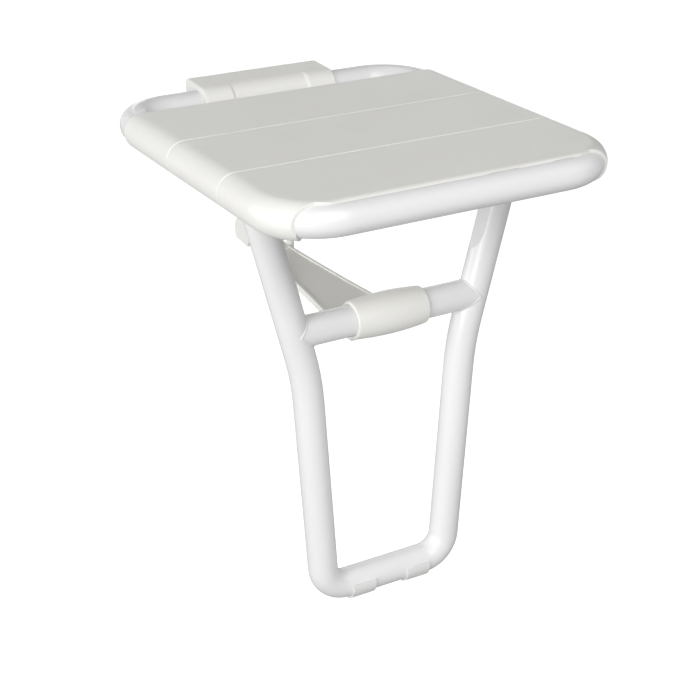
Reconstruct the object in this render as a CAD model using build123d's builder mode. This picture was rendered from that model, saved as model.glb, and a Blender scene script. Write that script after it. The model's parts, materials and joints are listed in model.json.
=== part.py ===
"""Fold-up shower seat with a drop-down leg, built as an assembly.

The wall is the plane Y = 0 and the room is on its -Y side. X runs along the wall, Z is up.
The origin is the middle of the four main wall bolts. Millimetres.

The seat turns on its own rear tube. The leg hangs from the seat, and a link arm from the wall
to the leg's crossbar keeps it upright: HINGE, LEG_PIVOT, CROSSBAR and LINK_PIVOT are the four
corners of a parallelogram.
"""

from build123d import *
import math
import os

os.makedirs("parts", exist_ok=True)

# ---------------------------------------------------------------- driving dimensions
TUBE_R = 15.0
TUBE_WALL = 2.0
SEAT_TOP = 62.0
FLOOR = -416.0

# seat ring, given on the tube's centre line
RING_HALF = 161.4
RING_DEPTH = 364.3
RING_CORNER = 48.8
HINGE_Y = -33.0

# slats
SKIN = 2.45
SLAT_T = 3.6
SLAT_GAP = 0.5
SEAM_R = 1.3
SLAT_REAR = 53.4
SEAM_1 = 154.6
SEAM_2 = 260.1
LIP_FLAT = 362.2
LIP_R = 5.6
LIP_OUT = 3.7
LIP_GAPS = ((28.0, 60.0), (97.0, 118.0))
WRAP_FRONT = 361.0
RIB_DEPTH = 8.4
RIB_T = 2.2
RIB_HALF = 114.0

# leg, half widths of the tube's centre line and their heights
LEG_BACK = 243.8
LEG_TOP_HALF = 133.4
LEG_TOP_Z = 20.0
KNEE_HALF = 86.6
KNEE_Z = -158.7
HEEL_HALF = 70.0
HEEL_Z = -398.5
KNEE_R = 280.0
HEEL_R = 27.0
CROSSBAR_Z = -109.5
PIVOT_LEAD = 6.0

# link arm
SLEEVE_HALF = 39.5
SLEEVE_END_R = 18.4
SLEEVE_MID_R = 20.8
KNUCKLE_R = 17.0
KNUCKLE_HALF = 30.5
CHEEK_T = 5.0
CAP_R = 9.0
ARM_T = (9.0, 5.0)

# wall bracket
HOUSING_HALF = 76.0
HOUSING_R = 19.0
RECESS_HALF = 41.0
RECESS_DEPTH = 3.0
RECESS_FLARE = 4.0
HOUSING_TILT = 2.5
PLATE_T = 4.0
PLATE_HALF = 66.0
TONGUE_HALF = 18.0
BOLT_X = 50.0
BOLT_Z = 16.0
BOLT_R = 4.25
LOWER_BOLT_Z = (-50.0, -74.0)
LUG_X = (14.0, 24.4)
KEEPER_SCREW_Y = -PLATE_T - 3.6

# fits
RUN = 0.06
SNUG = 0.04
OPEN_PIVOT = 0.3
PIN_R = 5.0

# ---------------------------------------------------------------- places worked out from them
WRAP_R = TUBE_R + SKIN
RING_Z = SEAT_TOP - WRAP_R
RING_FRONT = HINGE_Y - RING_DEPTH
LEG_Y = HINGE_Y - LEG_BACK
HINGE = (HINGE_Y, RING_Z)
CROSSBAR = (LEG_Y, CROSSBAR_Z)
LEG_PIVOT = (LEG_Y - PIVOT_LEAD, RING_Z - PIVOT_LEAD)
LINK_PIVOT = (HINGE[0] + CROSSBAR[0] - LEG_PIVOT[0], HINGE[1] + CROSSBAR[1] - LEG_PIVOT[1])
BORE_R = TUBE_R + RUN
LEG_DIR = Vector(LEG_TOP_HALF - KNEE_HALF, 0, LEG_TOP_Z - KNEE_Z).normalized()

SCREW_ROWS = {
    "slat_rear": (-108.0, -168.0),
    "slat_middle": (-208.0, -270.0),
    "slat_front": (-308.0, -340.0),
}

ALL_ROWS = [y for pair in SCREW_ROWS.values() for y in pair]


def save(part, name):
    """Label a finished piece and write its STEP file."""
    part.label = name
    export_step(part, f"parts/{name}.step")


def mirrored(part):
    """The same piece for the other side of the seat."""
    with BuildPart() as other:
        mirror(part, about=Plane.YZ)
    return other.part


def bar(radius, x_from, x_to, centre):
    """A round bar along X, centred on (y, z)."""
    with BuildPart() as rod:
        with BuildSketch(Plane.YZ.offset(x_from)):
            with Locations(centre):
                Circle(radius)
        extrude(amount=x_to - x_from)
    return rod.part


# ---------------------------------------------------------------- seat
def ring_solid(radius):
    """A round bar that follows the closed line of the seat ring."""
    back_left = (-RING_HALF, HINGE_Y)
    front_left = (-RING_HALF, RING_FRONT)
    front_right = (RING_HALF, RING_FRONT)
    back_right = (RING_HALF, HINGE_Y)
    with BuildPart() as ring:
        with BuildLine(Plane.XY.offset(RING_Z)) as path:
            FilletPolyline(back_left, front_left, front_right, back_right, radius=RING_CORNER, close=True)
        with BuildSketch(Plane(origin=path.line @ 0, z_dir=path.line % 0)):
            Circle(radius)
        sweep(path=path.wires()[0])
    return ring.part


RING_OUTER = ring_solid(TUBE_R)
RING_CLEARANCE = ring_solid(TUBE_R + SNUG)


def seat_ring():
    """Closed ring of round tube, with the holes that the slat screws bite into."""
    with BuildPart() as ring:
        add(RING_OUTER)
        add(ring_solid(TUBE_R - TUBE_WALL), mode=Mode.SUBTRACT)
        with Locations(under_tube_spots(ALL_ROWS, RING_Z - TUBE_R)):
            Cylinder(1.85, 4 * TUBE_WALL, mode=Mode.SUBTRACT)
    return ring.part


def wrap_profile(start=-115, sweep=205):
    """The skin around a side tube: from its crown, round the outside, to past its underside."""
    centre = (RING_HALF, RING_Z)
    with BuildSketch() as profile:
        with BuildLine():
            outside = CenterArc(centre, WRAP_R, start, sweep)
            inside = CenterArc(centre, TUBE_R + SNUG, start, sweep)
            Line(outside @ 0, inside @ 0)
            Line(outside @ 1, inside @ 1)
        make_face()
    return profile.sketch


def slat_ribs(rear, front):
    """A grid of ribs under a slat's plate."""
    depth = rear - front
    middle = (rear + front) / 2
    with BuildPart() as ribs:
        with BuildSketch(Plane.XY.offset(SEAT_TOP - SLAT_T - RIB_DEPTH)):
            with Locations([(0, middle + step * depth) for step in (-0.36, -0.12, 0.12, 0.36)]):
                Rectangle(2 * RIB_HALF, RIB_T)
            with Locations([(x, middle) for x in (-RIB_HALF + RIB_T, -38, 38, RIB_HALF - RIB_T)]):
                Rectangle(RIB_T, 0.72 * depth)
        extrude(amount=RIB_DEPTH + SLAT_T / 2)
    return ribs.part


def under_tube_spots(rows, z):
    """Places on the undersides of both side tubes."""
    return [(side * RING_HALF, y, z) for side in (-1, 1) for y in rows]


def seam_rims(slat, seams):
    """The outer edges of a slat's end faces: across its top and round both skins."""
    rims = []
    for edge in slat.edges():
        at_seam = min(abs(edge.center().Y - y) for y in seams) < 0.01
        across = edge.geom_type == GeomType.LINE and edge.length > RING_HALF and edge.center().Z > SEAT_TOP - 0.01
        if at_seam and (across or edge.geom_type == GeomType.CIRCLE and abs(edge.radius - WRAP_R) < 0.01):
            rims.append(edge)
    return rims


def straight_slat(name, rear, front):
    """A plate with ribs below and a skin round each side tube."""
    with BuildPart() as slat:
        with BuildSketch(Plane.XY.offset(SEAT_TOP - SLAT_T)):
            with Locations((0, (rear + front) / 2)):
                Rectangle(2 * RING_HALF, rear - front)
        extrude(amount=SLAT_T)
        add(slat_ribs(rear, front))
        with BuildSketch(Plane.XZ.offset(-rear)):
            add(wrap_profile())
            mirror(about=Plane.YZ)
        extrude(amount=rear - front)
        add(RING_CLEARANCE, mode=Mode.SUBTRACT)
        with Locations(under_tube_spots(SCREW_ROWS[name], RING_Z - WRAP_R)):
            Cylinder(2.0, 3 * SKIN, mode=Mode.SUBTRACT)
        fillet(seam_rims(slat, (rear, front)), SEAM_R)
    return slat.part


def front_lip():
    """A rounded nose along the front tube. Its ends follow the tube into the bends."""
    bend_y = RING_FRONT + RING_CORNER
    bend_x = RING_HALF - RING_CORNER
    back = HINGE_Y - WRAP_FRONT
    with BuildPart() as lip:
        with BuildSketch(Plane.YZ.offset(-RING_HALF)):
            with BuildLine():
                nose = CenterArc((HINGE_Y - LIP_FLAT, SEAT_TOP - LIP_R), LIP_R, 90, 59)
                Polyline(nose @ 1, (back, (nose @ 1).Y - 0.3), (back, SEAT_TOP), nose @ 0)
            make_face()
        extrude(amount=2 * RING_HALF)
        with BuildSketch(Plane.XY.offset(SEAT_TOP - 10)):
            with Locations((0, bend_y - 30)):
                Rectangle(2 * bend_x, 60)
            with Locations((-bend_x, bend_y), (bend_x, bend_y)):
                Circle(RING_CORNER + LIP_OUT)
        extrude(amount=12, mode=Mode.INTERSECT)
    return lip.part


def front_slat(rear):
    """The front slat follows the ring's bends and ends in a rounded lip on the front tube."""
    bend_y = RING_FRONT + RING_CORNER
    bend_x = RING_HALF - RING_CORNER
    end_y = HINGE_Y - WRAP_FRONT
    upright = Axis((bend_x, bend_y, 0), (0, 0, -1))
    with BuildPart() as slat:
        with BuildSketch(Plane.XY.offset(SEAT_TOP - SLAT_T)):
            with BuildLine():
                FilletPolyline(
                    (-RING_HALF, rear), (-RING_HALF, RING_FRONT), (RING_HALF, RING_FRONT), (RING_HALF, rear),
                    radius=RING_CORNER,
                )
                Line((RING_HALF, rear), (-RING_HALF, rear))
            make_face()
        extrude(amount=SLAT_T)
        add(slat_ribs(rear, RING_FRONT + TUBE_R))
        with BuildSketch(Plane.XZ.offset(-rear)):
            add(wrap_profile())
        extrude(amount=rear - bend_y)
        with BuildSketch(Plane.XZ.offset(-bend_y)):
            add(wrap_profile(0, 90))
        revolve(axis=upright, revolution_arc=90)
        with BuildSketch(Plane.XZ.offset(-bend_y)):
            add(wrap_profile(-115, 115))
        revolve(axis=upright, revolution_arc=46.3)
        with Locations((0, end_y - 30, RING_Z)):
            Box(3 * RING_HALF, 60, 4 * TUBE_R, mode=Mode.SUBTRACT)
        add(front_lip())
        split(bisect_by=Plane.YZ, keep=Keep.TOP)
        mirror(about=Plane.YZ)
        add(RING_CLEARANCE, mode=Mode.SUBTRACT)
        with Locations(under_tube_spots(SCREW_ROWS["slat_front"], RING_Z - WRAP_R)):
            Cylinder(2.0, 3 * SKIN, mode=Mode.SUBTRACT)
        for gap_from, gap_to in LIP_GAPS:
            with Locations(((gap_from + gap_to) / 2, HINGE_Y - LIP_FLAT - LIP_R, SEAT_TOP - 2.6)):
                Box(gap_to - gap_from, 2 * LIP_R - 4, 0.8, mode=Mode.SUBTRACT)
        ends = [face for face in slat.faces().filter_by(Axis.Y) if abs(face.center().Y - end_y) < 0.1]
        fillet([face.edges().sort_by(SortBy.LENGTH)[-1] for face in ends if face.area > 50], 0.8)
        fillet(seam_rims(slat, (rear,)), SEAM_R)
    return slat.part


def slat_screws():
    """Pan head screws that hold the skins to the side tubes from below."""
    head_top = RING_Z - WRAP_R
    with BuildPart() as screws:
        with Locations(under_tube_spots(ALL_ROWS, head_top)):
            Cylinder(1.8, 8, align=(Align.CENTER, Align.CENTER, Align.MIN))
            Cylinder(3.6, 2.2, align=(Align.CENTER, Align.CENTER, Align.MAX))
    return screws.part


def pivot_bracket():
    """A steel channel welded inside the right side tube: two cheeks and a front web."""
    eye_y, eye_z = LEG_PIVOT
    web_y = eye_y - 17
    top = SEAT_TOP - 7
    with BuildPart() as bracket:
        with BuildSketch(Plane.YZ.offset(143.5)):
            with Locations(LEG_PIVOT):
                Circle(13)
            with Locations(((web_y + eye_y + 13) / 2, (eye_z + top) / 2)):
                Rectangle(eye_y + 13 - web_y, top - eye_z)
            with Locations(((web_y + eye_y) / 2, eye_z - 3)):
                Rectangle(eye_y - web_y, 16)
        extrude(amount=4)
        with BuildSketch(Plane.YZ.offset(127)):
            with Locations(LEG_PIVOT):
                Circle(11.5)
            with Locations(((web_y + eye_y) / 2, eye_z)):
                Rectangle(eye_y - web_y, 22)
        extrude(amount=3)
        with BuildSketch(Plane.YZ.offset(127)):
            with Locations((web_y + 1.5, eye_z)):
                Rectangle(3, 22)
        extrude(amount=17)
        add(RING_CLEARANCE, mode=Mode.SUBTRACT)
        add(bar(PIN_R + RUN, 120, 150, LEG_PIVOT), mode=Mode.SUBTRACT)
    return bracket.part


def pivot_bolts():
    """Shoulder bolts, entered from the middle of the seat and screwed into the outer cheeks."""
    with BuildPart() as bolts:
        add(bar(PIN_R, 126.8, 146.3, LEG_PIVOT))
        with BuildSketch(Plane.YZ.offset(126.8)):
            with Locations(LEG_PIVOT):
                RegularPolygon(8, 6)
        extrude(amount=-5)
        mirror(about=Plane.YZ)
    return bolts.part


# ---------------------------------------------------------------- leg
def leg_solid(radius):
    """A round bar along the whole line of the leg hoop."""
    with BuildPart() as hoop:
        with BuildLine(Plane.XZ.offset(-LEG_Y)) as path:
            FilletPolyline(
                (-LEG_TOP_HALF, LEG_TOP_Z), (-KNEE_HALF, KNEE_Z), (-HEEL_HALF, HEEL_Z),
                (HEEL_HALF, HEEL_Z), (KNEE_HALF, KNEE_Z), (LEG_TOP_HALF, LEG_TOP_Z),
                radius=[KNEE_R, HEEL_R, HEEL_R, KNEE_R],
            )
        with BuildSketch(Plane(origin=path.line @ 0, z_dir=path.line % 0)):
            Circle(radius)
        sweep(path=path.wires()[0])
    return hoop.part


LEG_OUTER = leg_solid(TUBE_R)
FLAT_DEPTH = 3.5
FLAT_LENGTH = 100.0


def flat_cutter(depth):
    """What a press takes off the inner side of the right leg's upper end, with a round run-out."""
    along = Plane(origin=(LEG_TOP_HALF, LEG_Y, LEG_TOP_Z), x_dir=LEG_DIR * -1, z_dir=(0, 1, 0))
    face = TUBE_R - depth
    with BuildPart() as cutter:
        with BuildSketch(along):
            with BuildLine():
                run_out = RadiusArc((FLAT_LENGTH - 34, face), (FLAT_LENGTH, face + 8), -76)
                Polyline(run_out @ 1, (-5, face + 8), (-5, face), run_out @ 0)
            make_face()
        extrude(amount=2 * TUBE_R, both=True)
    return cutter.part


def top_cutter(extra):
    """What comes off the outer side of the right leg's mouth, so that it folds past the side tube."""
    face = RING_HALF - TUBE_R - 0.6 - extra
    with BuildPart() as cutter:
        with Locations((face + 10, LEG_Y, LEG_TOP_Z - 5)):
            Box(20, 50, 60)
    return cutter.part


def leg_hoop():
    """One bent tube: splayed upper legs, knees, lower legs and a flat run along the floor."""
    with BuildPart() as core:
        add(leg_solid(TUBE_R - TUBE_WALL))
        for cutter in (flat_cutter(FLAT_DEPTH + TUBE_WALL), top_cutter(TUBE_WALL)):
            add(cutter, mode=Mode.SUBTRACT)
            add(mirrored(cutter), mode=Mode.SUBTRACT)
    with BuildPart() as hoop:
        add(LEG_OUTER)
        for cutter in (flat_cutter(FLAT_DEPTH), top_cutter(0)):
            add(cutter, mode=Mode.SUBTRACT)
            add(mirrored(cutter), mode=Mode.SUBTRACT)
        add(core.part, mode=Mode.SUBTRACT)
    return hoop.part


def leg_crossbar():
    """Straight tube between the upper legs, its ends coped to fit them."""
    half = LEG_TOP_HALF - (LEG_TOP_Z - CROSSBAR_Z) * LEG_DIR.X / LEG_DIR.Z
    with BuildPart() as crossbar:
        add(bar(TUBE_R, -half, half, CROSSBAR))
        add(bar(TUBE_R - TUBE_WALL, -half, half, CROSSBAR), mode=Mode.SUBTRACT)
        add(leg_solid(TUBE_R + SNUG / 2), mode=Mode.SUBTRACT)
    return crossbar.part


def leg_head():
    """A plug in the right leg's open end, with a collar and an upright eye on the pivot."""
    end = Vector(LEG_TOP_HALF, LEG_Y, LEG_TOP_Z)
    eye_y, eye_z = LEG_PIVOT
    foot_z = LEG_TOP_Z + 0.7
    spigot_r = TUBE_R - TUBE_WALL - SNUG
    with BuildPart() as head:
        with BuildSketch(Plane(origin=end, z_dir=LEG_DIR)):
            Circle(TUBE_R)
        extrude(amount=3)
        with BuildSketch(Plane(origin=end, z_dir=LEG_DIR)):
            Circle(spigot_r)
        extrude(amount=-28)
        add(flat_cutter(FLAT_DEPTH + TUBE_WALL + SNUG), mode=Mode.SUBTRACT)
        add(top_cutter(TUBE_WALL + SNUG), mode=Mode.SUBTRACT)
        with BuildSketch(Plane.YZ.offset(131.2)):
            with BuildLine():
                Polyline(
                    (eye_y - 12.5, eye_z), (eye_y - 8, foot_z), (LEG_Y + 11, foot_z), (eye_y + 12.5, eye_z),
                    (eye_y - 12.5, eye_z),
                )
            make_face()
            with Locations(LEG_PIVOT):
                Circle(12.5)
        extrude(amount=11)
        add(bar(7 + SNUG, 130, 144, LEG_PIVOT), mode=Mode.SUBTRACT)
    return head.part


def leg_bushes():
    """Flanged nylon bushes, one from each side of both eyes."""
    with BuildPart() as bushes:
        add(bar(7, 130.9, 136.6, LEG_PIVOT))
        add(bar(7, 136.8, 142.5, LEG_PIVOT))
        add(bar(10, 130.3, 131.15, LEG_PIVOT))
        add(bar(10, 142.25, 143.1, LEG_PIVOT))
        add(bar(PIN_R + RUN, 129, 144, LEG_PIVOT), mode=Mode.SUBTRACT)
        mirror(about=Plane.YZ)
    return bushes.part


def foot_pad(x_middle):
    """A rubber clip round the lower half of the floor run, with a narrow flat sole."""
    centre = (LEG_Y, HEEL_Z)
    outer_r = 17.2
    with BuildPart() as pad:
        with BuildSketch(Plane.YZ.offset(x_middle - 13)):
            with BuildLine():
                outside = CenterArc(centre, outer_r, 166, 208)
                inside = CenterArc(centre, TUBE_R + SNUG, 166, 208)
                Line(outside @ 0, inside @ 0)
                Line(outside @ 1, inside @ 1)
            make_face()
            with Locations((LEG_Y, (FLOOR + HEEL_Z - TUBE_R - 1.5) / 2)):
                Rectangle(10, HEEL_Z - TUBE_R - 1.5 - FLOOR)
        extrude(amount=26)
        add(leg_solid(TUBE_R + SNUG / 2), mode=Mode.SUBTRACT)
    return pad.part


# ---------------------------------------------------------------- link arm
def arm_top(y):
    """Height of the arm's upper face: it falls slightly from the knuckle to the sleeve."""
    knuckle_y, knuckle_z = LINK_PIVOT
    start = knuckle_z - KNUCKLE_R + 0.6
    end = CROSSBAR_Z - 16.5
    return start + (knuckle_y - y) / (knuckle_y - LEG_Y) * (end - start)


def arm_slab(inset, above, below, y_from, y_to):
    """A slab that follows the arm's flared plan and its slope, set in from its edges."""
    knuckle_y = LINK_PIVOT[0]
    half = SLEEVE_HALF - 1 - inset
    with BuildPart() as slab:
        with BuildSketch(Plane.XY.offset(CROSSBAR_Z - 40)):
            with BuildLine():
                side = ThreePointArc(
                    (16.0 - inset, knuckle_y), (24.2 - inset, knuckle_y - 111), (half, LEG_Y + 16)
                )
                Polyline(side @ 1, (half, LEG_Y), (0, LEG_Y), (0, knuckle_y), side @ 0)
            make_face()
            mirror(about=Plane.YZ)
        extrude(amount=60)
        with BuildSketch(Plane.YZ.offset(-60)):
            with BuildLine():
                Polyline(
                    (y_from, arm_top(y_from) + above), (y_to, arm_top(y_to) + above),
                    (y_to, arm_top(y_to) - below[1]), (y_from, arm_top(y_from) - below[0]),
                    (y_from, arm_top(y_from) + above),
                )
            make_face()
        extrude(amount=120, mode=Mode.INTERSECT)
    return slab.part


def arm_plate():
    """The flat of the arm: a dished top with a low rim, and two round ears near the knuckle."""
    knuckle_y = LINK_PIVOT[0]
    ear_y = knuckle_y - 16
    dish_to = LEG_Y + SLEEVE_MID_R + 3
    with BuildPart() as plate:
        add(arm_slab(0, 0, ARM_T, knuckle_y, LEG_Y))
        add(arm_slab(2.4, 10, (1.8, 1.8), knuckle_y - 24, dish_to), mode=Mode.SUBTRACT)
        with Locations([(side * 20.0, ear_y, arm_top(ear_y) - 8) for side in (-1, 1)]):
            Cylinder(4.0, 20, align=(Align.CENTER, Align.CENTER, Align.MIN))
    return plate.part


def sleeve():
    """Barrel round the crossbar, fuller in the middle than at its rounded ends."""
    with BuildPart() as barrel:
        with BuildSketch(Plane.XY.offset(CROSSBAR_Z)):
            with BuildLine():
                side = ThreePointArc(
                    (-SLEEVE_HALF, LEG_Y - SLEEVE_END_R),
                    (0, LEG_Y - SLEEVE_MID_R),
                    (SLEEVE_HALF, LEG_Y - SLEEVE_END_R),
                )
                Polyline(side @ 1, (SLEEVE_HALF, LEG_Y), (-SLEEVE_HALF, LEG_Y), side @ 0)
            make_face()
        revolve(axis=Axis((0, LEG_Y, CROSSBAR_Z), (1, 0, 0)))
        fillet(barrel.edges().filter_by(GeomType.CIRCLE), 1.9)
    return barrel.part


def knuckle():
    """Two round cheeks at the wall pivot and the curved wall that joins them in front."""
    with BuildPart() as wall_end:
        add(bar(KNUCKLE_R, -KNUCKLE_HALF, KNUCKLE_HALF, LINK_PIVOT))
        fillet(wall_end.edges().filter_by(GeomType.CIRCLE), 1.5)
        inner = KNUCKLE_HALF - CHEEK_T
        add(bar(KNUCKLE_R - 3, -inner, inner, LINK_PIVOT), mode=Mode.SUBTRACT)
        with BuildSketch(Plane.YZ.offset(-inner)):
            with BuildLine():
                y, z = LINK_PIVOT
                Polyline((y, z), (y - 20, z + 28.6), (y + 30, z + 28.6), (y + 30, z - 30), (y + 4, z - 30), (y, z))
            make_face()
        extrude(amount=2 * inner, mode=Mode.SUBTRACT)
    return wall_end.part


def link_arm():
    """One moulding: knuckle with flat-bottomed cheeks, plate and sleeve."""
    inner = KNUCKLE_HALF - CHEEK_T
    with BuildPart() as arm:
        add(sleeve())
        add(arm_plate())
        add(knuckle())
        add(bar(TUBE_R + OPEN_PIVOT + 1, -60, 60, CROSSBAR), mode=Mode.SUBTRACT)
        for side in (-1, 1):
            add(bar(7 + SNUG, side * (inner - 1), side * (KNUCKLE_HALF + 1), LINK_PIVOT), mode=Mode.SUBTRACT)
            add(bar(CAP_R, side * (KNUCKLE_HALF - 2), side * (KNUCKLE_HALF + 1), LINK_PIVOT), mode=Mode.SUBTRACT)
            with BuildSketch(Plane.YZ.offset(side * (KNUCKLE_HALF + 1))):
                with BuildLine():
                    Polyline((5, -111), (-49.5, -116), (-49.5, -140), (5, -140), (5, -111))
                make_face()
            extrude(amount=-side * 7, mode=Mode.SUBTRACT)
    return arm.part


def sleeve_liners():
    """Nylon rings inside the sleeve's ends. They slide round the crossbar with play."""
    with BuildPart() as liners:
        add(bar(TUBE_R + OPEN_PIVOT + 1 - SNUG, 18, SLEEVE_HALF - 0.3, CROSSBAR))
        add(bar(TUBE_R + OPEN_PIVOT, 17, SLEEVE_HALF, CROSSBAR), mode=Mode.SUBTRACT)
        mirror(about=Plane.YZ)
    return liners.part


def link_bushes():
    """Flanged nylon bushes in the knuckle's cheeks."""
    inner = KNUCKLE_HALF - CHEEK_T
    with BuildPart() as bushes:
        add(bar(7, inner - 0.9, KNUCKLE_HALF - 2.1, LINK_PIVOT))
        add(bar(9, inner - 0.9, inner - 0.05, LINK_PIVOT))
        add(bar(PIN_R + RUN, inner - 2, KNUCKLE_HALF, LINK_PIVOT), mode=Mode.SUBTRACT)
        mirror(about=Plane.YZ)
    return bushes.part


def knuckle_caps():
    """Push-in caps over the ends of the link pin."""
    with BuildPart() as caps:
        add(bar(CAP_R - SNUG, KNUCKLE_HALF - 1.9, KNUCKLE_HALF, LINK_PIVOT))
        mirror(about=Plane.YZ)
    return caps.part


# ---------------------------------------------------------------- wall side
def wall_plate():
    """Steel back plate with a narrow tongue that reaches down to the link pivot."""
    top = SEAT_TOP - 5
    shoulder = -26.0
    foot = LINK_PIVOT[1] - 14
    with BuildPart() as plate:
        with BuildSketch(Plane.XZ):
            with Locations((0, (top + shoulder) / 2)):
                RectangleRounded(2 * PLATE_HALF, top - shoulder, 8)
            with Locations((0, (shoulder + 20 + foot) / 2)):
                RectangleRounded(2 * TONGUE_HALF, shoulder + 20 - foot, 8)
            with Locations([(x, z) for x in (-BOLT_X, BOLT_X) for z in (-BOLT_Z, BOLT_Z)]):
                Circle(BOLT_R, mode=Mode.SUBTRACT)
            with Locations([(0, z) for z in LOWER_BOLT_Z]):
                Circle(BOLT_R, mode=Mode.SUBTRACT)
        extrude(amount=PLATE_T)
        with Locations([Plane(origin=(x, 0, RING_Z + 6), z_dir=(0, 1, 0)) for x in (-60, 60)]):
            CounterSinkHole(2.6, 5.2)
    return plate.part


def recess_section(depth, station):
    """What the housing's recess takes away in front, in the plane x = station."""
    tilt = math.radians(HOUSING_TILT)
    y, z = HINGE_Y + depth * math.cos(tilt), RING_Z + depth * math.sin(tilt)
    with BuildSketch(Plane.YZ.offset(station)) as section:
        with BuildLine():
            nose = CenterArc((y, z), HOUSING_R, 90 + HOUSING_TILT, 90 - HOUSING_TILT)
            low, high = RING_Z - 1, RING_Z + HOUSING_R + 5
            Polyline(nose @ 1, ((nose @ 1).X, low), (HINGE_Y - 30, low), (HINGE_Y - 30, high),
                     ((nose @ 0).X, high), nose @ 0)
        make_face()
    return section.sketch


def hinge_housing():
    """Light alloy housing over the wall plate: two proud hinge ends and a recessed middle."""
    z = RING_Z
    back = -PLATE_T - 0.05
    tilt = math.radians(HOUSING_TILT)
    corner = 4.0
    corner_z = z + (HOUSING_R - corner) / math.cos(tilt) - (HINGE_Y + corner) * math.tan(tilt)
    pocket_top = SEAT_TOP - 4.7
    with BuildPart() as housing:
        with BuildSketch(Plane.YZ.offset(-HOUSING_HALF)):
            with BuildLine():
                nose = CenterArc(HINGE, HOUSING_R, 90 + HOUSING_TILT, 90 - HOUSING_TILT)
                rear = CenterArc((-corner, corner_z), corner, 0, 90 + HOUSING_TILT)
                Polyline(nose @ 1, (back - 6, z), (back - 6, z - 5), (0, z - 5), rear @ 0)
                Line(rear @ 1, nose @ 0)
            make_face()
        extrude(amount=2 * HOUSING_HALF)
        ends = housing.faces().sort_by(Axis.X)
        rims = ends[0].edges() + ends[-1].edges()
        fillet([edge for edge in rims if edge.center().Z > z + 5 and edge.center().Y < -0.1], 3.8)
        with Locations((0, back / 2, (pocket_top + z - 6) / 2)):
            Box(2 * PLATE_HALF + 0.6, -back, pocket_top - z + 6, mode=Mode.SUBTRACT)
        add(extrude(recess_section(RECESS_DEPTH, -RECESS_HALF), amount=2 * RECESS_HALF, dir=(1, 0, 0)),
            mode=Mode.SUBTRACT)
        for side in (-1, 1):
            inner = recess_section(RECESS_DEPTH, side * RECESS_HALF)
            outer = recess_section(-0.6, side * (RECESS_HALF + RECESS_FLARE))
            add(loft([inner, outer], ruled=True), mode=Mode.SUBTRACT)
        add(bar(BORE_R, -HOUSING_HALF - 1, HOUSING_HALF + 1, HINGE), mode=Mode.SUBTRACT)
        with Locations([Plane(origin=(x, 0, RING_Z + 6), z_dir=(0, 1, 0)) for x in (-60, 60)]):
            Cylinder(2.5 + SNUG, 26, mode=Mode.SUBTRACT)
        with Locations([(side * x, KEEPER_SCREW_Y, RING_Z) for side in (-1, 1) for x in (52, 68)]):
            Cylinder(2.0 + SNUG, 24, mode=Mode.SUBTRACT)
    return housing.part


def hinge_keeper():
    """Lower half bearing of the right hinge end, with a flange below the housing's rear block."""
    y, z = HINGE
    back = -PLATE_T - 0.05
    with BuildPart() as keeper:
        with BuildSketch(Plane.YZ.offset(RECESS_HALF + 1)):
            with BuildLine():
                belly = CenterArc((y, z - 0.1), HOUSING_R, 180, 90)
                Polyline(
                    belly @ 1, (back, z - 0.1 - HOUSING_R), (back, z - 5.1), (back - 6.1, z - 5.1),
                    (back - 6.1, z - 0.1), belly @ 0,
                )
            make_face()
        extrude(amount=HOUSING_HALF - RECESS_HALF - 2)
        add(bar(BORE_R, RECESS_HALF, HOUSING_HALF, HINGE), mode=Mode.SUBTRACT)
        with Locations([(x, KEEPER_SCREW_Y, z - HOUSING_R - 0.1) for x in (52, 68)]):
            Cylinder(2.0 + SNUG, 60, mode=Mode.SUBTRACT)
            Cylinder(3.5, 8, mode=Mode.SUBTRACT)
    return keeper.part


def keeper_screws():
    """Cap screws that pull the keepers up against the housing."""
    head_base = RING_Z - HOUSING_R - 0.1 + 4
    with BuildPart() as screws:
        with Locations([(side * x, KEEPER_SCREW_Y, head_base) for side in (-1, 1) for x in (52, 68)]):
            Cylinder(2.0, 22, align=(Align.CENTER, Align.CENTER, Align.MIN))
            Cylinder(3.4, 4, align=(Align.CENTER, Align.CENTER, Align.MAX))
    return screws.part


def housing_screws():
    """Countersunk screws through the back plate into the housing."""
    with BuildPart() as screws:
        with Locations([Plane(origin=(x, -0.3, RING_Z + 6), z_dir=(0, -1, 0)) for x in (-60, 60)]):
            Cylinder(2.5, 12, align=(Align.CENTER, Align.CENTER, Align.MIN))
            Cone(4.8, 2.5, 2.5, align=(Align.CENTER, Align.CENTER, Align.MIN))
    return screws.part


def link_lug():
    """Steel lug welded to the tongue. It carries the right half of the link pin."""
    y, z = LINK_PIVOT
    with BuildPart() as lug:
        with BuildSketch(Plane.YZ.offset(LUG_X[0])):
            with Locations(LINK_PIVOT):
                Circle(11)
            with Locations(((y - PLATE_T) / 2, z)):
                Rectangle(-PLATE_T - y, 16)
        extrude(amount=LUG_X[1] - LUG_X[0])
        add(bar(PIN_R + SNUG, 0, 40, LINK_PIVOT), mode=Mode.SUBTRACT)
    return lug.part


def link_pin():
    """Steel pin through both lugs and both cheeks of the knuckle."""
    half = KNUCKLE_HALF - 2.2
    with BuildPart() as pin:
        add(bar(PIN_R, -half, half, LINK_PIVOT))
        chamfer(pin.edges().filter_by(GeomType.CIRCLE), 0.5)
    return pin.part


SEAMS = (SLAT_REAR - SLAT_GAP / 2, SEAM_1, SEAM_2)
REARS = [HINGE_Y - seam - SLAT_GAP / 2 for seam in SEAMS]
FRONTS = [HINGE_Y - seam + SLAT_GAP / 2 for seam in SEAMS[1:]]

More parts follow.
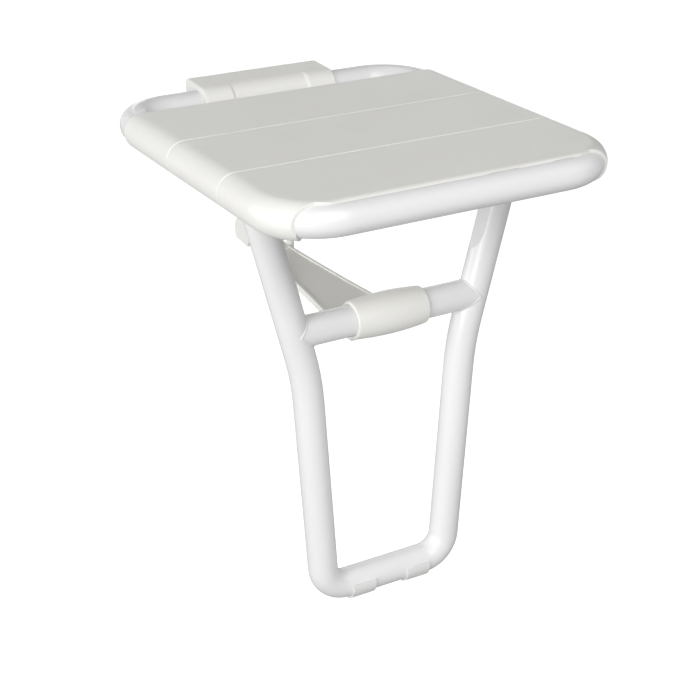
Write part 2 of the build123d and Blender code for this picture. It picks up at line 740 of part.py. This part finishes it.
SINGLE_PIECES = {
    "wall_plate": wall_plate(),
    "hinge_housing": hinge_housing(),
    "housing_screws": housing_screws(),
    "keeper_screws": keeper_screws(),
    "link_pin": link_pin(),
    "seat_ring": seat_ring(),
    "slat_rear": straight_slat("slat_rear", REARS[0], FRONTS[0]),
    "slat_middle": straight_slat("slat_middle", REARS[1], FRONTS[1]),
    "slat_front": front_slat(REARS[2]),
    "slat_screws": slat_screws(),
    "pivot_bolts": pivot_bolts(),
    "leg_hoop": leg_hoop(),
    "leg_crossbar": leg_crossbar(),
    "leg_bushes": leg_bushes(),
    "link_arm": link_arm(),
    "sleeve_liners": sleeve_liners(),
    "link_bushes": link_bushes(),
    "knuckle_caps": knuckle_caps(),
}
PAIRED_PIECES = {
    "hinge_keeper": hinge_keeper(),
    "link_lug": link_lug(),
    "pivot_bracket": pivot_bracket(),
    "leg_head": leg_head(),
    "foot_pad": foot_pad(32),
}

for name, piece in SINGLE_PIECES.items():
    save(piece, name)
for name, piece in PAIRED_PIECES.items():
    save(piece, name + "_right")
    save(mirrored(piece), name + "_left")
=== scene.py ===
"""Looks for the fold-up shower seat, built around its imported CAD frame."""

import json
import math

import bpy
import bmesh
from mathutils import Matrix, Vector

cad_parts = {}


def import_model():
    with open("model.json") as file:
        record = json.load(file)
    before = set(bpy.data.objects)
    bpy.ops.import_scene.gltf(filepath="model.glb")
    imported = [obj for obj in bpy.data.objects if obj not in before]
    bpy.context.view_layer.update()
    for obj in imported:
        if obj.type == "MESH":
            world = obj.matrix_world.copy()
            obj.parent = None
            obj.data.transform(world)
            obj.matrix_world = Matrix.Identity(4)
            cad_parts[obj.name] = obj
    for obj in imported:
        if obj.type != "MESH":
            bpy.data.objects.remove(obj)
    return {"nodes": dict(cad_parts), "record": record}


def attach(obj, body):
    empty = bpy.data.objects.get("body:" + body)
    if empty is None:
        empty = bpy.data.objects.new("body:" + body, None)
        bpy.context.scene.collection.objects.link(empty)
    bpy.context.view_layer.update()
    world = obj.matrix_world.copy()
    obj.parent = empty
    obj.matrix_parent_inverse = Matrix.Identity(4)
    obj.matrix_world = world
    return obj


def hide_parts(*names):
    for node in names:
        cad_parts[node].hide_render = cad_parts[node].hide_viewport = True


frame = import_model()
bpy.context.view_layer.update()
NODES = frame["nodes"]


# ---------------------------------------------------------------- materials
def new_material(name):
    """An empty node material and its node and link lists."""
    material = bpy.data.materials.new(name)
    material.use_nodes = True
    tree = material.node_tree
    tree.nodes.clear()
    return material, tree.nodes, tree.links


def node(nodes, kind, **settings):
    """A node with its unlinked sockets set by name."""
    made = nodes.new(kind)
    for name, value in settings.items():
        made.inputs[name.replace("_", " ")].default_value = value
    return made


def noise(nodes, links, place, scale, detail=2.0, roughness=0.5):
    """A noise texture's value at a place."""
    made = node(nodes, "ShaderNodeTexNoise", Scale=scale, Detail=detail, Roughness=roughness)
    links.new(place, made.inputs["Vector"])
    return made.outputs["Fac"]


def between(nodes, links, value, low, high):
    """A texture value of 0 to 1 taken into another range."""
    made = node(nodes, "ShaderNodeMapRange", From_Min=0.3, From_Max=0.7, To_Min=low, To_Max=high)
    links.new(value, made.inputs["Value"])
    return made.outputs["Result"]


def tinted(nodes, links, value, colour, spread):
    """The base colour, drifting a little darker and lighter with a texture."""
    mix = nodes.new("ShaderNodeMix")
    mix.data_type = "RGBA"
    links.new(between(nodes, links, value, 0.0, 1.0), mix.inputs[0])
    mix.inputs[6].default_value = (*(c * (1 - spread) for c in colour), 1)
    mix.inputs[7].default_value = (*(min(1.0, c * (1 + spread)) for c in colour), 1)
    return mix.outputs[2]


def raised(nodes, links, height, depth, before=None, strength=1.0):
    """A bump layer of a given depth in metres, on top of another one."""
    made = node(nodes, "ShaderNodeBump", Strength=strength, Distance=depth)
    links.new(height, made.inputs["Height"])
    if before:
        links.new(before, made.inputs["Normal"])
    return made.outputs["Normal"]


def finish(name, colour, rough, drift, layers, **constants):
    """A material whose colour and roughness drift a little over bump layers.

    drift is (scale, colour spread, roughness spread). A layer is (scale, detail, depth in metres).
    """
    material, nodes, links = new_material(name)
    out = nodes.new("ShaderNodeOutputMaterial")
    shader = node(nodes, "ShaderNodeBsdfPrincipled", **constants)
    place = nodes.new("ShaderNodeTexCoord").outputs["Object"]
    drift_scale, colour_spread, rough_spread = drift
    patches = noise(nodes, links, place, drift_scale, 4.0)
    links.new(tinted(nodes, links, patches, colour, colour_spread), shader.inputs["Base Color"])
    smears = noise(nodes, links, place, drift_scale * 3.1, 5.0, 0.6)
    gloss = between(nodes, links, smears, rough - rough_spread, rough + rough_spread)
    links.new(gloss, shader.inputs["Roughness"])
    normal = None
    for scale, detail, depth in layers:
        normal = raised(nodes, links, noise(nodes, links, place, scale, detail), depth, normal)
    links.new(normal, shader.inputs["Normal"])
    links.new(shader.outputs[0], out.inputs[0])
    return material, nodes, links, shader, place, normal


def powder_coat():
    """Gloss white powder coat: a slow orange peel under a clear, slightly hazy film."""
    return finish(
        "white_coat", (0.88, 0.88, 0.885), 0.27, (14.0, 0.003, 0.003),
        ((420.0, 1.0, 0.0000015), (1500.0, 2.0, 0.0000005)),
        Coat_Weight=0.15, Coat_Roughness=0.08,
    )[0]


def moulded(name, colour, rough):
    """Moulded plastic: a fine eroded tool texture, faint flow marks and slightly uneven gloss."""
    return finish(
        name, colour, rough, (9.0, 0.010, 0.04),
        ((5200.0, 3.0, 0.000012), (700.0, 2.0, 0.000008), (16.0, 1.0, 0.00006)),
    )[0]


def brushed_steel(name, colour, along):
    """Satin stainless steel, brushed along one axis."""
    material, nodes, links, shader, place, normal = finish(
        name, colour, 0.32, (30.0, 0.04, 0.07), ((2500.0, 2.0, 0.000004),), Metallic=1.0
    )
    stretch = nodes.new("ShaderNodeMapping")
    stretch.inputs["Scale"].default_value = [0.02 if axis == along else 1.0 for axis in "XYZ"]
    links.new(place, stretch.inputs["Vector"])
    strokes = noise(nodes, links, stretch.outputs[0], 3500.0, 3.0, 0.7)
    links.new(raised(nodes, links, strokes, 0.00001, normal), shader.inputs["Normal"])
    links.new(between(nodes, links, strokes, 0.24, 0.42), shader.inputs["Roughness"])
    return material


def nylon():
    """Natural nylon: waxy, a little translucent."""
    return finish(
        "nylon", (0.82, 0.805, 0.745), 0.42, (25.0, 0.02, 0.05), ((1800.0, 3.0, 0.00001),),
        Subsurface_Weight=0.15, Subsurface_Scale=0.002,
    )[0]


def rubber():
    """Pale rubber with a fine moulded grid."""
    material, nodes, links, shader, place, normal = finish(
        "pale_rubber", (0.86, 0.86, 0.85), 0.55, (40.0, 0.015, 0.06), ((3000.0, 3.0, 0.00002),)
    )
    for axis in "XZ":
        wave = nodes.new("ShaderNodeTexWave")
        wave.bands_direction = axis
        wave.inputs["Scale"].default_value = 150.0
        links.new(place, wave.inputs["Vector"])
        normal = raised(nodes, links, wave.outputs["Fac"], 0.00012, normal, 0.7)
    links.new(normal, shader.inputs["Normal"])
    return material


BY_SLOT = {
    "white_coat": powder_coat(),
    "seat_plastic": moulded("seat_plastic", (0.880, 0.875, 0.841), 0.38),
    "warm_plastic": moulded("warm_plastic", (0.915, 0.908, 0.871), 0.38),
    "plain_steel": brushed_steel("plain_steel", (0.60, 0.60, 0.59), "Z"),
    "screw_steel": brushed_steel("screw_steel", (0.57, 0.57, 0.56), "X"),
    "nylon": nylon(),
    "pale_rubber": rubber(),
}
for part in frame["record"]["subparts"]:
    obj = NODES[part["node"]]
    for place in obj.material_slots:
        place.material = BY_SLOT[part["material_slot"]]


# ---------------------------------------------------------------- pieces
MM = 0.001
TUBE_R = 15 * MM
# In mm. The upper leg's axis runs between two (x, z) points, and the crossbar meets it.
LEG_TOP = (133.4, 20.0)
LEG_KNEE = (86.6, -158.7)
CROSSBAR_Y = -276.8
CROSSBAR_Z = -109.5
BEAD_HEIGHT = 0.62
BEAD_RIPPLE = 0.03
BEAD_WIDTH_TO_HEIGHT = 2.3
SCREW_X = 161.4
SCREW_YS = (-108, -168, -208, -270, -308, -340)
SCREW_Z = 27.1
SCREW_SIDES = 40
# The screw's outline as (radius, height), from the middle of its head up to the end of its shank.
SCREW_OUTLINE = (
    (0, -2.18), (0.55, -2.17), (1.5, -2.08), (2.4, -1.80), (3.05, -1.35), (3.45, -0.75),
    (3.6, -0.2), (3.6, 0.0), (1.8, 0.02), (1.8, 7.2), (1.3, 8.0), (0, 8.0),
)
RECESS_BLADE = (3.6, 0.75, 1.8)
RECESS_MIDDLE = -2.0


def mesh_piece(name, body, slot, mesh_data, *replaced):
    """A finished mesh as a piece that rides on a body and takes its finish from a slot."""
    mesh = bpy.data.meshes.new(name)
    mesh_data.to_mesh(mesh)
    mesh_data.free()
    mesh.shade_smooth()
    mesh.materials.append(BY_SLOT[slot])
    piece = bpy.data.objects.new(name, mesh)
    bpy.context.scene.collection.objects.link(piece)
    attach(piece, body)
    if replaced:
        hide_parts(*replaced)
    return piece


def skin(data, low, high):
    """Faces between two rings with the same number of points."""
    count = len(low)
    for k in range(count):
        after = (k + 1) % count
        data.faces.new((low[k], low[after], high[after], high[k]))


def saddle_point(middle, lean, turn):
    """A point where the crossbar's surface meets the leg's, and the way out of the crossbar."""
    side = math.sin(turn)
    if side > 0:
        reach = -TUBE_R * side * lean.z / (1 + lean.x)
    else:
        reach = TUBE_R * side * lean.z / (1 - lean.x)
    out = Vector((0, math.cos(turn), side))
    return middle + Vector((reach, 0, 0)) + out * TUBE_R, out


def weld_bead(data, middle, lean, mirror):
    """A low rippled bead round one end of the crossbar."""
    steps, sides, look_ahead = 220, 10, 0.02
    rings = []
    for i in range(steps):
        turn = 2 * math.pi * i / steps
        point, out = saddle_point(middle, lean, turn)
        ahead, _ = saddle_point(middle, lean, turn + look_ahead)
        along = (ahead - point).normalized()
        across = along.cross(out).normalized()
        up = across.cross(along)
        ripple = BEAD_RIPPLE * math.sin(40 * turn) + BEAD_RIPPLE * math.sin(9 * turn)
        height = (BEAD_HEIGHT + ripple) * MM
        ring = []
        for k in range(sides):
            a = 2 * math.pi * k / sides
            round_bead = across * math.cos(a) * BEAD_WIDTH_TO_HEIGHT + up * math.sin(a)
            spot = point + round_bead * height
            ring.append(data.verts.new((spot.x * mirror, spot.y, spot.z)))
        rings.append(ring)
    for i in range(steps):
        skin(data, rings[i], rings[(i + 1) % steps])


def crossbar_welds():
    """The beads at both ends of the crossbar."""
    lean = Vector((LEG_TOP[0] - LEG_KNEE[0], 0, LEG_TOP[1] - LEG_KNEE[1])).normalized()
    half = LEG_TOP[0] - (LEG_TOP[1] - CROSSBAR_Z) * lean.x / lean.z
    middle = Vector((half, CROSSBAR_Y, CROSSBAR_Z)) * MM
    data = bmesh.new()
    for mirror in (-1, 1):
        weld_bead(data, middle, lean, mirror)
    bmesh.ops.recalc_face_normals(data, faces=data.faces)
    mesh_piece("crossbar_welds", "leg", "white_coat", data)


def turned(profile, sides):
    """A closed solid of revolution about the upright axis, from (radius, height) in mm."""
    data = bmesh.new()
    rings = []
    for radius, height in profile[1:-1]:
        ring = []
        for k in range(sides):
            a = 2 * math.pi * k / sides
            reach = radius * MM
            ring.append(data.verts.new((reach * math.cos(a), reach * math.sin(a), height * MM)))
        rings.append(ring)
    for low, high in zip(rings, rings[1:]):
        skin(data, low, high)
    for ring, height in ((rings[0], profile[0][1]), (rings[-1], profile[-1][1])):
        tip = data.verts.new((0, 0, height * MM))
        for k in range(sides):
            data.faces.new((ring[k], ring[(k + 1) % sides], tip))
    bmesh.ops.recalc_face_normals(data, faces=data.faces)
    return data


def cross_cutter():
    """Two crossed blades that cut the recess."""
    data = bmesh.new()
    blade = Matrix.Diagonal((*(length * MM for length in RECESS_BLADE), 1))
    for angle in (0, 90):
        down = Matrix.Translation((0, 0, RECESS_MIDDLE * MM))
        turn = Matrix.Rotation(math.radians(angle), 4, "Z") @ down
        bmesh.ops.create_cube(data, size=1.0, matrix=turn @ blade)
    return data


def screw_mesh():
    """One screw with its recess cut, as a clean closed mesh."""
    holders = []
    blank = turned(SCREW_OUTLINE, SCREW_SIDES)
    for name, source in (("screw_blank", blank), ("screw_cutter", cross_cutter())):
        mesh = bpy.data.meshes.new(name)
        source.to_mesh(mesh)
        source.free()
        holders.append(bpy.data.objects.new(name, mesh))
        bpy.context.scene.collection.objects.link(holders[-1])
    cut = holders[0].modifiers.new("recess", "BOOLEAN")
    cut.object = holders[1]
    cut.operation = "DIFFERENCE"
    cut.solver = "EXACT"
    cut.use_self = True
    finished = holders[0].evaluated_get(bpy.context.evaluated_depsgraph_get())
    made = bpy.data.meshes.new_from_object(finished)
    for holder in holders:
        bpy.data.objects.remove(holder)
    clean = bmesh.new()
    clean.from_mesh(made)
    bmesh.ops.triangulate(clean, faces=clean.faces)
    bmesh.ops.remove_doubles(clean, verts=clean.verts, dist=0.003 * MM)
    bmesh.ops.dissolve_degenerate(clean, edges=clean.edges, dist=0.001 * MM)
    clean.to_mesh(made)
    clean.free()
    return made


def slat_screws():
    """Domed pan heads with cross recesses, under the side tubes."""
    made = screw_mesh()
    data = bmesh.new()
    for side in (-1, 1):
        for i, y in enumerate(SCREW_YS):
            one = bmesh.new()
            one.from_mesh(made)
            place = Matrix.Translation((side * SCREW_X * MM, y * MM, SCREW_Z * MM))
            turn = Matrix.Rotation(math.radians(37 * i + 20 * side), 4, "Z")
            bmesh.ops.transform(one, matrix=place @ turn, verts=one.verts)
            copy = bpy.data.meshes.new("screw_copy")
            one.to_mesh(copy)
            one.free()
            data.from_mesh(copy)
            bpy.data.meshes.remove(copy)
    piece = mesh_piece("pan_screws", "seat", "screw_steel", data, "slat_screws")
    piece.data.set_sharp_from_angle(angle=math.radians(35))


crossbar_welds()
slat_screws()


# ---------------------------------------------------------------- stage
FLOOR_Z = -0.416
FLOOR_HALF = 12.0
FLOOR_GLOW = 0.382
FLOOR_SEEN_LIFT = 0.85
LIT_MIDDLE = Vector((0, -0.22, -0.12))
SOFTBOX_SIZE = 1.9
SOFTBOX_DISTANCE = 3.2
SOFTBOXES = (  # name, azimuth, elevation, power
    ("key", 0, 50, 34), ("key_low", 0, 28, 23), ("left_front", 60, 8, 53),
    ("left_mid", 60, 28, 15), ("left", 90, 8, 8), ("left_back", 120, 8, 30),
    ("back_low", 180, 8, 9), ("right_back", 210, 8, 13), ("right", 270, 28, 2.5),
    ("right_front", 300, 28, 8.5), ("back", 180, 50, 9),
)
CAMERA_PLACE = (-0.7047, -1.4452, 0.4828)
CAMERA_YAW, CAMERA_PITCH, CAMERA_ROLL = 29.655, 24.851, -0.229
CAMERA_LENS = 80.22


def stage_floor():
    """A pale floor. What the camera sees of it is lit a little brighter than what it casts back."""
    mesh = bpy.data.meshes.new("floor")
    signs = ((-1, -1), (1, -1), (1, 1), (-1, 1))
    corners = [(x * FLOOR_HALF, y * FLOOR_HALF, FLOOR_Z) for x, y in signs]
    mesh.from_pydata(corners, [], [(0, 1, 2, 3)])
    floor = bpy.data.objects.new("floor", mesh)
    bpy.context.scene.collection.objects.link(floor)
    material, nodes, links = new_material("floor_white")
    out = nodes.new("ShaderNodeOutputMaterial")
    mix = nodes.new("ShaderNodeMixShader")
    path = nodes.new("ShaderNodeLightPath")
    glow = node(nodes, "ShaderNodeEmission", Strength=FLOOR_GLOW)
    seen = nodes.new("ShaderNodeAddShader")
    paint = node(nodes, "ShaderNodeBsdfDiffuse", Color=(0.5, 0.5, 0.5, 1))
    lift = node(nodes, "ShaderNodeEmission", Strength=FLOOR_SEEN_LIFT)
    links.new(paint.outputs[0], seen.inputs[0])
    links.new(lift.outputs[0], seen.inputs[1])
    links.new(path.outputs["Is Camera Ray"], mix.inputs[0])
    links.new(glow.outputs[0], mix.inputs[1])
    links.new(seen.outputs[0], mix.inputs[2])
    links.new(mix.outputs[0], out.inputs[0])
    mesh.materials.append(material)


def softbox(name, azimuth, elevation, power):
    """A square softbox on a ring round the seat. Azimuth 0 is in front, 90 is at the left."""
    a, e = math.radians(azimuth), math.radians(elevation)
    away = Vector((-math.sin(a) * math.cos(e), -math.cos(a) * math.cos(e), math.sin(e)))
    data = bpy.data.lights.new(name, "AREA")
    data.shape = "SQUARE"
    data.size = SOFTBOX_SIZE
    data.energy = power
    light = bpy.data.objects.new(name, data)
    bpy.context.scene.collection.objects.link(light)
    light.location = LIT_MIDDLE + away * SOFTBOX_DISTANCE
    light.rotation_euler = (-away).to_track_quat("-Z", "Y").to_euler()


def camera():
    """The camera stands in front and to the left, and looks down at the seat."""
    yaw, pitch, roll = (math.radians(a) for a in (CAMERA_YAW, CAMERA_PITCH, CAMERA_ROLL))
    level = math.cos(pitch)
    forward = Vector((math.sin(yaw) * level, math.cos(yaw) * level, -math.sin(pitch)))
    right = Vector((math.cos(yaw), -math.sin(yaw), 0))
    up = right.cross(forward)
    right, up = (
        right * math.cos(roll) + up * math.sin(roll),
        up * math.cos(roll) - right * math.sin(roll),
    )
    data = bpy.data.cameras.new("camera")
    data.sensor_width = 36
    data.lens = CAMERA_LENS
    obj = bpy.data.objects.new("camera", data)
    bpy.context.scene.collection.objects.link(obj)
    turn = Matrix((right, up, -forward)).transposed()
    obj.matrix_world = Matrix.Translation(CAMERA_PLACE) @ turn.to_4x4()
    bpy.context.scene.camera = obj


def world():
    """White where the camera sees past the floor, and nearly dark for everything it lights."""
    scene = bpy.context.scene
    scene.world = bpy.data.worlds.new("studio")
    scene.world.use_nodes = True
    nodes = scene.world.node_tree.nodes
    links = scene.world.node_tree.links
    background = nodes["Background"]
    background.inputs["Color"].default_value = (1, 1, 1, 1)
    path = nodes.new("ShaderNodeLightPath")
    level = node(nodes, "ShaderNodeMapRange", To_Min=0.01, To_Max=1.0)
    links.new(path.outputs["Is Camera Ray"], level.inputs["Value"])
    links.new(level.outputs["Result"], background.inputs["Strength"])
    scene.view_settings.view_transform = "Standard"


stage_floor()
camera()
world()
for facts in SOFTBOXES:
    softbox(*facts)
